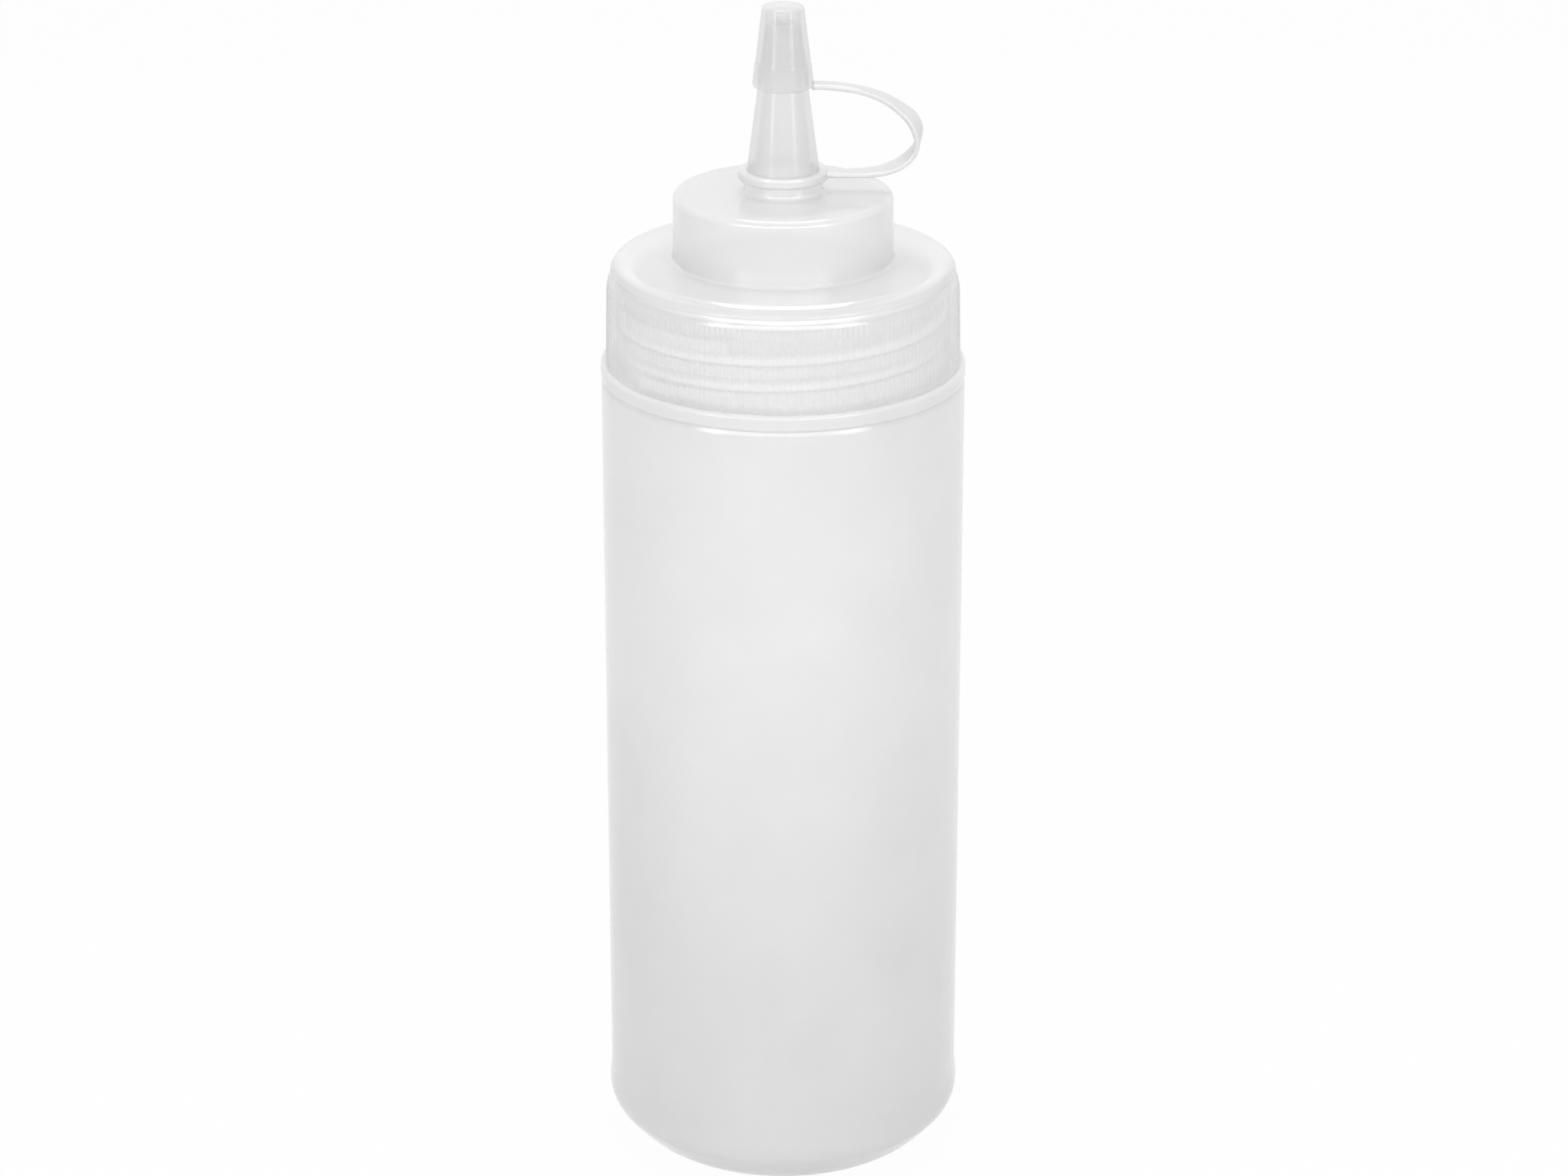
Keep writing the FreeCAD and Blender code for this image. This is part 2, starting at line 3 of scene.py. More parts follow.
import bmesh
import bpy
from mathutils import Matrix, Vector


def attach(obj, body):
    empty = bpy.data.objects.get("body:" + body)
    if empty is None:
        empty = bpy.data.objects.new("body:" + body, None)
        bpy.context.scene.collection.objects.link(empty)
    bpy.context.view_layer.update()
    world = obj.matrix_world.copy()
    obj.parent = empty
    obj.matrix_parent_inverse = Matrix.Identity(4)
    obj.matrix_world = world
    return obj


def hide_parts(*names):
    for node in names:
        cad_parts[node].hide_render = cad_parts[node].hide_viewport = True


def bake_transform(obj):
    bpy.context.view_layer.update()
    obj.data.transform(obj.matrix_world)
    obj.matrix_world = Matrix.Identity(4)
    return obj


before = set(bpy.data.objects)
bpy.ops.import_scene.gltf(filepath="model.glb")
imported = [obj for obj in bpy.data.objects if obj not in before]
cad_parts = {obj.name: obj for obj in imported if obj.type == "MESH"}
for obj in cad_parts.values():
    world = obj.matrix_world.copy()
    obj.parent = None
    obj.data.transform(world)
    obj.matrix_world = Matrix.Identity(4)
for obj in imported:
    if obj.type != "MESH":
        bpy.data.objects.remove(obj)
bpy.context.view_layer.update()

bl_info = {
    "name": "Sauce dispenser",
    "version": (1, 0, 0),
    "blender": (4, 5, 0),
    "location": "View3D > Sidebar > Sauce dispenser",
    "description": "Models a squeeze bottle for sauce with a ribbed screw cap and a tip cap on a strap",
    "category": "Add Mesh",
}

MM = 0.001
TINY = 1e-6
UP = (0.0, 0.0, 1.0)
CENTRE = (0.0, 0.0, 0.0)
FULL_TURN = 2 * math.pi
# Height at which the scale of tones ends, just above the tip cap.
FULL_HEIGHT = 240 * MM
# Sharpest bend, in degrees, that is still shaded smooth.
SMOOTH_ANGLE = 40
# Degrees of arc that one face of a rounding spans, on large and on small roundings.
LARGE_ARC_STEP = 8
SMALL_ARC_STEP = 20

# Outlines in millimetres: radius, height and rounding of each corner, from the bottle's base up.
BOTTLE_OUTLINE = [
    (0, 2.0, 0), (19.0, 0, 6), (27.7, 0, 13), (35.3, 8.5, 5.6), (35.3, 11.6, 8), (35.0, 15.0, 8),
    (35.0, 160.2, 3), (34.6, 161.4, 0.3), (35.1, 161.9, 0.8), (35.1, 164.6, 0.8), (30.5, 164.6, 0.5),
    (30.5, 181.0, 0.5), (28.9, 181.0, 0.5), (28.9, 162.65, 1.5), (33.7, 159.55, 2.5), (33.7, 9.4, 6),
    (27.05, 1.8, 8), (19.0, 1.8, 6), (0, 3.8, 0),
]
CAP_OUTLINE = [
    (34.05, 164.62, 0), (34.04, 165.45, 0), (33.78, 178.8, 4), (33.5, 180.6, 0), (33.3, 181.3, 6),
    (32.85, 182.4, 0.1), (33.0, 182.6, 0.15), (33.0, 183.0, 0.4), (32.15, 184.3, 0.8), (31.13, 184.86, 1.2),
    (21.1, 184.86, 0.6), (20.95, 197.75, 1.4), (7.45, 197.75, 1), (7.45, 200.28, 0.1),
    (6.75, 200.28, 0), (6.75, 202.3, 0), (6.87, 202.3, 0), (3.2, 230.25, 0.4), (1.45, 230.25, 0.2),
    (1.45, 228.29, 0.3), (2.49, 227.25, 0.4), (5.65, 200.2, 1), (5.65, 196.35, 0.4),
    (19.55, 196.35, 0.9), (19.55, 183.0, 0.3), (31.2, 183.0, 0), (31.2, 181.0, 0), (30.75, 181.0, 0),
    (30.75, 180.5, 0), (32.05, 179.2, 0.3), (32.05, 164.62, 0),
]
RING_OUTLINE = [
    (6.82, 200.3, 0.2), (8.55, 200.3, 0.45), (8.55, 202.2, 0.45), (6.82, 202.2, 0.2),
]
TIP_CAP_OUTLINE = [
    (0, 233.65, 0), (3.95, 233.65, 0.5), (5.28, 222.75, 0.1), (5.39, 222.5, 0.15), (5.88, 218.05, 0.8),
    (4.97, 218.05, 0), (4.85, 222.25, 0), (4.40, 222.25, 0.1), (3.35, 230.25, 0.5), (3.35, 232.65, 0.3),
    (1.38, 232.65, 0.15), (1.38, 228.55, 0.35), (0, 228.55, 0),
]
# Thread sections, each about its own middle height.
NECK_THREAD_OUTLINE = [
    (30.4, -1.1, 0), (30.5, -1.1, 0), (31.6, -0.55, 0.25), (31.6, 0.55, 0.25), (30.5, 1.1, 0), (30.4, 1.1, 0),
]
CAP_THREAD_OUTLINE = [
    (32.15, -1.1, 0), (32.15, 1.1, 0), (32.05, 1.1, 0), (30.95, 0.55, 0.25), (30.95, -0.55, 0.25),
    (32.05, -1.1, 0),
]
# Where each thread starts: height in millimetres and angle in degrees.
NECK_THREAD_START = (166.9, 126.0)
CAP_THREAD_START = (166.25, 216.0)
# How far the very ends of each thread are scaled into the wall that carries it.
NECK_THREAD_SINK = 30.4 / 31.6
CAP_THREAD_SINK = 32.15 / 30.95
# Sections in one turn of a thread, and sections over which each end fades.
THREAD_STEPS = 96
THREAD_FADE = 12
# How far a point of a thread's section may lie off the section's plane, in metres.
SECTION_REACH = 20 * TINY
# The ribs' lower and upper ends and a radius just inside the skirt's outer face, in millimetres.
RIBS_LOW = 165.4
RIBS_HIGH = 180.65
RIBS_INSIDE = 33.0
# The strap's middle line from the ring to the tip cap: radius, height, and twist in degrees.
STRAP_LINE = [
    (7.2, 201.25, 0), (9.6, 201.25, 0), (14.0, 201.2, 2), (18.2, 201.5, 10), (21.6, 202.7, 20),
    (24.0, 204.4, 20), (25.6, 207.0, 0), (25.5, 209.6, -30), (24.5, 211.9, -35), (22.9, 213.3, -25),
    (21.2, 214.6, -15), (18.6, 216.2, -8), (14.8, 217.5, 0), (9.8, 218.25, 0), (7.6, 218.35, 0),
    (5.4, 218.35, 0),
]
# Radius in millimetres at which the strap's bend is cut from its two ends.
STRAP_CUT = 17.4
# Lamps: name, place and size in metres, and the setting that holds the power.
LAMPS = (
    ("lamp_left", (-0.80, -0.89, 0.50), (0.25, 0.7), "side_power"),
    ("lamp_right", (0.80, -0.89, 0.50), (0.25, 0.7), "side_power"),
    ("lamp_front", (0.0, -1.3, 0.60), (3.6, 0.3), "front_power"),
    ("lamp_top", (0.0, 0.25, 1.3), (0.7, 0.5), "top_power"),
)
LAMP_TARGET = (0.0, 0.0, 0.12)
FLOOR_RADIUS = 6.0
FLOOR_SIDES = 96
FLOOR_GREY = (0.85, 0.85, 0.85, 1.0)
# Share of plain white in the floor as it is seen; the rest takes the bottle's shadow.
FLOOR_WHITE = 0.96
CAMERA_PLACE = (0.00017, -0.8, 0.42979)
CAMERA_TILT = 68.64
CAMERA_LENS = 100.44
CAMERA_SENSOR = 36.0
CAMERA_NEAR = 0.05
# Sockets of the colour mix node: first colour, second colour, result.
MIX_FIRST, MIX_SECOND, MIX_RESULT = 6, 7, 2


def place(radius, height):
    """A point of an outline, in metres, on the strap's side of the bottle."""
    return Vector((radius * MM, 0.0, height * MM))


def pick(piece):
    """Make a piece the only one that is selected."""
    bpy.ops.object.select_all(action="DESELECT")
    piece.select_set(True)
    bpy.context.view_layer.objects.active = piece


def start_piece(name):
    """A new piece in edit mode that is one point at the origin yet."""
    bpy.ops.object.select_all(action="DESELECT")
    bpy.ops.mesh.primitive_plane_add(size=MM, location=CENTRE)
    piece = bpy.context.active_object
    piece.name = name
    piece.data.name = name
    bpy.ops.object.mode_set(mode="EDIT")
    bpy.ops.mesh.select_mode(type="VERT")
    bpy.ops.mesh.select_all(action="SELECT")
    bpy.ops.mesh.merge(type="CENTER")
    return piece


def select_points(piece, wanted):
    """Select only the points of a piece in edit mode that pass a test of their place."""
    bpy.ops.mesh.select_mode(type="VERT")
    bpy.ops.mesh.select_all(action="DESELECT")
    shape = bmesh.from_edit_mesh(piece.data)
    for point in shape.verts:
        point.select = wanted(point.co)
    shape.select_flush_mode()
    bmesh.update_edit_mesh(piece.data)


def select_faces(piece, wanted):
    """Select only the faces of a piece in edit mode that pass a test of their middle."""
    bpy.ops.mesh.select_mode(type="FACE")
    bpy.ops.mesh.select_all(action="DESELECT")
    shape = bmesh.from_edit_mesh(piece.data)
    for face in shape.faces:
        face.select = wanted(face.calc_center_median())
    shape.select_flush_mode()
    bmesh.update_edit_mesh(piece.data)


def draw_outline(piece, corners, closed):
    """Extrude the single point of a new piece along an outline and round its corners."""
    points = [place(radius, height) for radius, height, rounding in corners]
    bpy.ops.transform.translate(value=points[0])
    for here, there in zip(points, points[1:]):
        bpy.ops.mesh.extrude_region_move(TRANSFORM_OT_translate={"value": there - here})
    if closed:
        bpy.ops.mesh.extrude_region_move(TRANSFORM_OT_translate={"value": points[0] - points[-1]})
        bpy.ops.mesh.select_all(action="SELECT")
        bpy.ops.mesh.remove_doubles(threshold=TINY)
    count = len(points)
    for index, (radius, height, rounding) in enumerate(corners):
        if rounding > 0:
            before = (points[index] - points[index - 1]).normalized()
            after = (points[(index + 1) % count] - points[index]).normalized()
            round_corner(piece, points[index], before.angle(after), rounding * MM)


def round_corner(piece, corner, turn, rounding):
    """Bevel one corner of an outline into an arc of the given radius."""
    select_points(piece, lambda at: (at - corner).length < TINY)
    bulge = 1 - 0.5 / (1 + math.cos(turn / 2))
    arc_step = LARGE_ARC_STEP if rounding > MM else SMALL_ARC_STEP
    bpy.ops.mesh.bevel(
        offset=rounding * math.tan(turn / 2),
        offset_type="OFFSET",
        affect="VERTICES",
        segments=max(2, round(math.degrees(turn) / arc_step)),
        profile=bulge * bulge,
    )


def spin_outline(steps):
    """Spin the outline of the piece in edit mode once round the bottle's axis."""
    bpy.ops.mesh.select_all(action="SELECT")
    bpy.ops.mesh.spin(steps=steps, angle=FULL_TURN, center=CENTRE, axis=UP)
    close_up()


def close_up():
    """Merge what lies together in the piece in edit mode and turn its faces outwards."""
    bpy.ops.mesh.select_all(action="SELECT")
    bpy.ops.mesh.remove_doubles(threshold=TINY)
    bpy.ops.mesh.select_all(action="SELECT")
    bpy.ops.mesh.normals_make_consistent(inside=False)


def apply_modifiers(piece):
    """Apply the piece's modifiers in order."""
    pick(piece)
    for name in [modifier.name for modifier in piece.modifiers]:
        bpy.ops.object.modifier_apply(modifier=name)


def smooth(piece):
    """Leave edit mode and shade the piece smooth, except at its sharp edges."""
    bpy.ops.object.mode_set(mode="OBJECT")
    bpy.ops.object.shade_smooth_by_angle(angle=math.radians(SMOOTH_ANGLE))
    weights = piece.modifiers.new("Even shading", "WEIGHTED_NORMAL")
    weights.keep_sharp = True
    apply_modifiers(piece)


def wind_thread(name, corners, start, sizes, sink):
    """A thread wound up from a closed section, its two ends fading into the wall that carries it."""
    start_height, start_angle = start
    pitch, turns = sizes.thread_pitch, sizes.thread_turns
    piece = start_piece(name)
    raised = [(radius, height + start_height, rounding) for radius, height, rounding in corners]
    draw_outline(piece, raised, closed=True)
    bpy.ops.object.mode_set(mode="OBJECT")
    winding = piece.modifiers.new("Winding", "SCREW")
    winding.angle = FULL_TURN * turns
    winding.screw_offset = pitch * turns
    winding.steps = round(THREAD_STEPS * turns)
    winding.render_steps = winding.steps
    apply_modifiers(piece)
    bpy.ops.object.mode_set(mode="EDIT")
    bpy.ops.mesh.select_mode(type="EDGE")
    bpy.ops.mesh.select_all(action="DESELECT")
    bpy.ops.mesh.select_non_manifold()
    bpy.ops.mesh.edge_face_add()
    close_up()
    fade_thread(piece, start_height * MM, pitch, turns, sink)
    bpy.ops.object.mode_set(mode="OBJECT")
    piece.rotation_euler.z = math.radians(start_angle)
    bpy.ops.object.transform_apply(location=False, rotation=True, scale=False)
    bpy.ops.object.shade_smooth_by_angle(angle=math.radians(SMOOTH_ANGLE))
    return piece


def fade_thread(piece, start_height, pitch, turns, sink):
    """Scale the sections near both ends of a thread towards or away from the axis, more at the very end."""
    step = turns / round(THREAD_STEPS * turns)
    for index in range(THREAD_FADE):
        size = 1 + (sink - 1) * (1 - index / THREAD_FADE) ** 2
        for turned in (index * step, turns - index * step):
            middle = Vector((0, 0, start_height + turned * pitch))
            spoke = Vector((math.cos(FULL_TURN * turned), math.sin(FULL_TURN * turned), 0))
            across = Vector((-spoke.y, spoke.x, 0))

            def in_section(at):
                away = at - middle
                on_plane = abs(away.dot(across)) < SECTION_REACH
                return on_plane and away.dot(spoke) > 0 and abs(away.z) < pitch / 3

            select_points(piece, in_section)
            bpy.ops.transform.resize(value=(size, size, 1), center_override=CENTRE)


def join(target, *others):
    """Join other pieces into one."""
    bpy.ops.object.select_all(action="DESELECT")
    for piece in (target, *others):
        piece.select_set(True)
    bpy.context.view_layer.objects.active = target
    bpy.ops.object.join()


def finish_piece(piece, material):
    """Give a piece its one material."""
    piece.data.materials.clear()
    piece.data.materials.append(material)


def new_group(name, inputs, outputs):
    """A shader node group with named sockets; returns it with its input and output nodes."""
    group = bpy.data.node_groups.new(name, "ShaderNodeTree")
    for label, kind, default in inputs:
        socket = group.interface.new_socket(name=label, in_out="INPUT", socket_type=kind)
        if default is not None:
            socket.default_value = default
    for label, kind in outputs:
        group.interface.new_socket(name=label, in_out="OUTPUT", socket_type=kind)
    return group, group.nodes.new("NodeGroupInput"), group.nodes.new("NodeGroupOutput")


def add_node(tree, kind, **settings):
    """A new node of a kind, with its settings."""
    node = tree.nodes.new(kind)
    for key, value in settings.items():
        setattr(node, key, value)
    return node


def cloud_group():
    """Cloudy unevenness of moulded polyethylene: colour, roughness and a faint orange peel."""
    group, given, made = new_group(
        "Moulded cloud",
        [
            ("Place", "NodeSocketVector", None),
            ("Colour", "NodeSocketColor", None),
            ("Cloud depth", "NodeSocketFloat", 0.04),
            ("Cloud size", "NodeSocketFloat", 60.0),
            ("Roughness", "NodeSocketFloat", 0.3),
            ("Roughness change", "NodeSocketFloat", 0.06),
            ("Peel size", "NodeSocketFloat", 900.0),
        ],
        [("Colour", "NodeSocketColor"), ("Roughness", "NodeSocketFloat"), ("Peel", "NodeSocketFloat")],
    )
    link = group.links.new
    cloud = add_node(group, "ShaderNodeTexNoise")
    cloud.inputs["Detail"].default_value = 3.0
    cloud.inputs["Roughness"].default_value = 0.55
    link(given.outputs["Place"], cloud.inputs["Vector"])
    link(given.outputs["Cloud size"], cloud.inputs["Scale"])
    spread = add_node(group, "ShaderNodeMapRange")
    spread.inputs["From Min"].default_value = 0.3
    spread.inputs["From Max"].default_value = 0.7
    link(cloud.outputs["Fac"], spread.inputs["Value"])
    amount = add_node(group, "ShaderNodeMath", operation="MULTIPLY")
    link(spread.outputs["Result"], amount.inputs[0])
    link(given.outputs["Cloud depth"], amount.inputs[1])
    tone = add_node(group, "ShaderNodeMix", data_type="RGBA", blend_type="MULTIPLY")
    tone.inputs[MIX_SECOND].default_value = (0.0, 0.0, 0.0, 1.0)
    link(amount.outputs[0], tone.inputs["Factor"])
    link(given.outputs["Colour"], tone.inputs[MIX_FIRST])
    link(tone.outputs[MIX_RESULT], made.inputs["Colour"])
    shine = add_node(group, "ShaderNodeMath", operation="MULTIPLY_ADD")
    link(spread.outputs["Result"], shine.inputs[0])
    link(given.outputs["Roughness change"], shine.inputs[1])
    link(given.outputs["Roughness"], shine.inputs[2])
    link(shine.outputs[0], made.inputs["Roughness"])
    peel = add_node(group, "ShaderNodeTexNoise")
    peel.inputs["Detail"].default_value = 2.0
    link(given.outputs["Place"], peel.inputs["Vector"])
    link(given.outputs["Peel size"], peel.inputs["Scale"])
    link(peel.outputs["Fac"], made.inputs["Peel"])
    return group


def speck_group():
    """A few dark specks, as of dust caught in the moulding."""
    group, given, made = new_group(
        "Moulded specks",
        [
            ("Place", "NodeSocketVector", None),
            ("Spacing", "NodeSocketFloat", 90.0),
            ("Size", "NodeSocketFloat", 0.035),
            ("Share", "NodeSocketFloat", 0.03),
        ],
        [("Mask", "NodeSocketFloat")],
    )
    link = group.links.new
    cells = add_node(group, "ShaderNodeTexVoronoi", feature="F1")
    link(given.outputs["Place"], cells.inputs["Vector"])
    link(given.outputs["Spacing"], cells.inputs["Scale"])
    near = add_node(group, "ShaderNodeMath", operation="LESS_THAN")
    link(cells.outputs["Distance"], near.inputs[0])
    link(given.outputs["Size"], near.inputs[1])
    chance = add_node(group, "ShaderNodeSeparateColor")
    link(cells.outputs["Color"], chance.inputs["Color"])
    rare = add_node(group, "ShaderNodeMath", operation="LESS_THAN")
    link(chance.outputs["Red"], rare.inputs[0])
    link(given.outputs["Share"], rare.inputs[1])
    both = add_node(group, "ShaderNodeMath", operation="MULTIPLY")
    link(near.outputs[0], both.inputs[0])
    link(rare.outputs[0], both.inputs[1])
    link(both.outputs[0], made.inputs["Mask"])
    return group


def milky_plastic(name, look, clouds, specks):
    """A translucent polyethylene with clouds, specks, a faint orange peel and tones by height, several of which
    are painted light and shade.
    """
    material = bpy.data.materials.new(name)
    material.use_nodes = True
    tree = material.node_tree
    tree.nodes.clear()
    link = tree.links.new
    out = add_node(tree, "ShaderNodeOutputMaterial")
    plastic = add_node(tree, "ShaderNodeBsdfPrincipled")
    link(plastic.outputs["BSDF"], out.inputs["Surface"])
    where = add_node(tree, "ShaderNodeTexCoord")
    cloud = add_node(tree, "ShaderNodeGroup", node_tree=clouds)
    height = add_node(tree, "ShaderNodeSeparateXYZ")
    link(where.outputs["Object"], height.inputs["Vector"])
    level = add_node(tree, "ShaderNodeMapRange")
    level.inputs["From Max"].default_value = FULL_HEIGHT
    link(height.outputs["Z"], level.inputs["Value"])
    tones = add_node(tree, "ShaderNodeValToRGB")
    for index, (at, colour) in enumerate(look["tones"]):
        stop = tones.color_ramp.elements[index] if index < 2 else tones.color_ramp.elements.new(1.0)
        stop.position = at * MM / FULL_HEIGHT
        stop.color = colour
    link(level.outputs["Result"], tones.inputs["Fac"])
    link(tones.outputs["Color"], cloud.inputs["Colour"])
    cloud.inputs["Cloud size"].default_value = look["cloud_size"]
    cloud.inputs["Roughness"].default_value = look["roughness"]
    cloud.inputs["Roughness change"].default_value = look["roughness_change"]
    cloud.inputs["Peel size"].default_value = look["peel_size"]
    link(where.outputs["Object"], cloud.inputs["Place"])
    speck = add_node(tree, "ShaderNodeGroup", node_tree=specks)
    link(where.outputs["Object"], speck.inputs["Place"])
    tone = add_node(tree, "ShaderNodeMix", data_type="RGBA")
    tone.inputs[MIX_SECOND].default_value = look["speck_colour"]
    link(speck.outputs["Mask"], tone.inputs["Factor"])
    link(cloud.outputs["Colour"], tone.inputs[MIX_FIRST])
    link(tone.outputs[MIX_RESULT], plastic.inputs["Base Color"])
    link(cloud.outputs["Roughness"], plastic.inputs["Roughness"])
    bump = add_node(tree, "ShaderNodeBump")
    bump.inputs["Strength"].default_value = look["peel_strength"]
    bump.inputs["Distance"].default_value = look["peel_depth"]
    link(cloud.outputs["Peel"], bump.inputs["Height"])
    link(bump.outputs["Normal"], plastic.inputs["Normal"])
    plastic.inputs["IOR"].default_value = look["bend"]
    plastic.inputs["Specular IOR Level"].default_value = look["shine"]
    if look["light_stopped"] < 1:
        facing = add_node(tree, "ShaderNodeLayerWeight")
        facing.inputs["Blend"].default_value = 0.5
        cover = add_node(tree, "ShaderNodeMapRange")
        cover.inputs["To Min"].default_value = look["cover"]
        cover.inputs["To Max"].default_value = look["edge_cover"]
        link(facing.outputs["Facing"], cover.inputs["Value"])
        ray = add_node(tree, "ShaderNodeLightPath")
        lit = add_node(tree, "ShaderNodeMath", operation="MAXIMUM")
        link(ray.outputs["Is Shadow Ray"], lit.inputs[0])
        link(ray.outputs["Is Diffuse Ray"], lit.inputs[1])
        let_in = add_node(tree, "ShaderNodeMapRange")
        let_in.inputs["To Min"].default_value = 1.0
        let_in.inputs["To Max"].default_value = look["light_stopped"]
        link(lit.outputs[0], let_in.inputs["Value"])
        thick = add_node(tree, "ShaderNodeMath", operation="MULTIPLY")
        link(cover.outputs["Result"], thick.inputs[0])
        link(tones.outputs["Alpha"], thick.inputs[1])
        dense = add_node(tree, "ShaderNodeMath", operation="MULTIPLY")
        link(thick.outputs[0], dense.inputs[0])
        link(let_in.outputs["Result"], dense.inputs[1])
        link(dense.outputs[0], plastic.inputs["Alpha"])
    plastic.inputs["Subsurface Weight"].default_value = look["milkiness"]
    plastic.inputs["Subsurface Radius"].default_value = (1.0, 1.0, 1.0)
    plastic.inputs["Subsurface Scale"].default_value = look["milk_depth"]
    return material


class DispenserSizes(bpy.types.PropertyGroup):
    """Sizes of the dispenser's finer forms."""
    turn_steps: bpy.props.IntProperty(
        name="Turn steps", description="Faces round the bottle and the small turned pieces",
        default=192, min=48, subtype="UNSIGNED")
    rib_count: bpy.props.IntProperty(
        name="Grip ribs", description="Fine upright ribs round the cap's skirt",
        default=192, min=24, subtype="UNSIGNED")
    rib_depth: bpy.props.FloatProperty(
        name="Rib depth", description="How deep the grooves between the ribs are",
        default=0.13 * MM, unit="LENGTH")
    rib_slope: bpy.props.FloatProperty(
        name="Rib slope", description="Width of a rib's sloping flank", default=0.2 * MM, unit="LENGTH")
    strap_width: bpy.props.FloatProperty(
        name="Strap width", description="Width of the strap", default=3.5 * MM, unit="LENGTH")
    strap_thickness: bpy.props.FloatProperty(
        name="Strap thickness", description="Thickness of the strap", default=1.05 * MM, unit="LENGTH")
    strap_round: bpy.props.FloatProperty(
        name="Strap rounding", description="Rounding of the strap's edges", default=0.4 * MM, unit="LENGTH")
    thread_pitch: bpy.props.FloatProperty(
        name="Thread pitch", description="Rise of the thread in one turn", default=5 * MM, unit="LENGTH")
    thread_turns: bpy.props.FloatProperty(
        name="Thread turns", description="Turns of the thread", default=2.1, subtype="UNSIGNED")


class DispenserColours(bpy.types.PropertyGroup):
    """Colours of the dispenser's plastics, some with painted light or shade in them, whose last value is how
    much the plastic hides.
    """
    bottle: bpy.props.FloatVectorProperty(
        name="Bottle", description="Plastic of the bottle", subtype="COLOR", size=4,
        default=(0.77, 0.77, 0.77, 1.0))
    # Painted shade: the bottle is coloured darker towards its foot, where less light falls.
    bottle_foot_painted_shade: bpy.props.FloatVectorProperty(
        name="Bottle foot", description="Plastic of the bottle's lower part", subtype="COLOR", size=4,
        default=(0.7, 0.7, 0.7, 1.0))
    # Painted shade: the neck inside the cap is coloured darker, so the wall between the thread's turns reads as
    # shade through the skirt.
    bottle_neck_painted_shade: bpy.props.FloatVectorProperty(
        name="Bottle neck", description="Plastic of the bottle's neck inside the cap",
        subtype="COLOR", size=4, default=(0.6, 0.6, 0.6, 1.0))
    # Painted light: the neck is coloured lighter where it rises from the flange, against the dark contact under
    # the skirt's foot.
    neck_foot_painted_light: bpy.props.FloatVectorProperty(
        name="Neck foot", description="Plastic where the neck rises from the flange", subtype="COLOR", size=4,
        default=(0.88, 0.88, 0.88, 1.0))
    # Painted light: the neck's thread is coloured lighter than the neck, so its turns show as light bands
    # through the skirt.
    neck_thread: bpy.props.FloatVectorProperty(
        name="Neck thread", description="Plastic of the thread on the bottle's neck", subtype="COLOR", size=4,
        default=(0.86, 0.86, 0.86, 1.0))
    nozzle: bpy.props.FloatVectorProperty(
        name="Nozzle", description="Plastic of the nozzle", subtype="COLOR", size=4,
        default=(0.76, 0.76, 0.76, 0.8))
    skirt: bpy.props.FloatVectorProperty(
        name="Skirt", description="Plastic of the screw cap's skirt", subtype="COLOR", size=4,
        default=(0.9, 0.9, 0.9, 0.78))
    # Painted shade: a darker band round the cap's rim, between the plate's edge and the crown.
    rim_painted_shade: bpy.props.FloatVectorProperty(
        name="Rim", description="Plastic of the rim round the screw cap's top", subtype="COLOR", size=4,
        default=(0.75, 0.75, 0.75, 1.0))
    # Painted shade: the drum is coloured darker towards its upper end and over the collar, evening out the
    # overhead lamp's light there.
    drum: bpy.props.FloatVectorProperty(
        name="Drum", description="Plastic of the upper end of the screw cap's drum", subtype="COLOR", size=4,
        default=(0.87, 0.87, 0.87, 1.0))
    # The cap's plastic at the plate, and painted light at the drum's foot: this lighter tone stands against the
    # contact shade there.
    cap: bpy.props.FloatVectorProperty(
        name="Cap", description="Plastic of the screw cap", subtype="COLOR", size=4,
        default=(0.96, 0.96, 0.96, 1.0))
    tether: bpy.props.FloatVectorProperty(
        name="Tether", description="Plastic of the ring and the strap's foot", subtype="COLOR", size=4,
        default=(0.78, 0.78, 0.78, 1.0))
    strap: bpy.props.FloatVectorProperty(
        name="Strap", description="Plastic of the strap", subtype="COLOR", size=4,
        default=(0.72, 0.72, 0.72, 1.0))
    tip_cap: bpy.props.FloatVectorProperty(
        name="Tip cap", description="Plastic of the tip cap", subtype="COLOR", size=4,
        default=(0.77, 0.77, 0.77, 1.0))
    washer: bpy.props.FloatVectorProperty(
        name="Washer", description="Rubber of the sealing washer", subtype="COLOR", size=4,
        default=(0.85, 0.85, 0.84, 1.0))
    speck: bpy.props.FloatVectorProperty(
        name="Speck", description="Specks in the plastic", subtype="COLOR", size=4,
        default=(0.35, 0.34, 0.33, 1.0))


class DispenserStage(bpy.types.PropertyGroup):
    """Light of the dispenser's stage."""
    side_power: bpy.props.FloatProperty(
        name="Side lamps", description="Power of each side lamp", default=1.0, unit="POWER")
    front_power: bpy.props.FloatProperty(
        name="Front lamp", description="Power of the wide lamp in front", default=11.0, unit="POWER")
    top_power: bpy.props.FloatProperty(
        name="Top lamp", description="Power of the lamp overhead", default=5.0, unit="POWER")
    room_level: bpy.props.FloatProperty(
        name="Room level", description="Brightness of the room that lights matt surfaces", default=0.58,
        subtype="FACTOR")


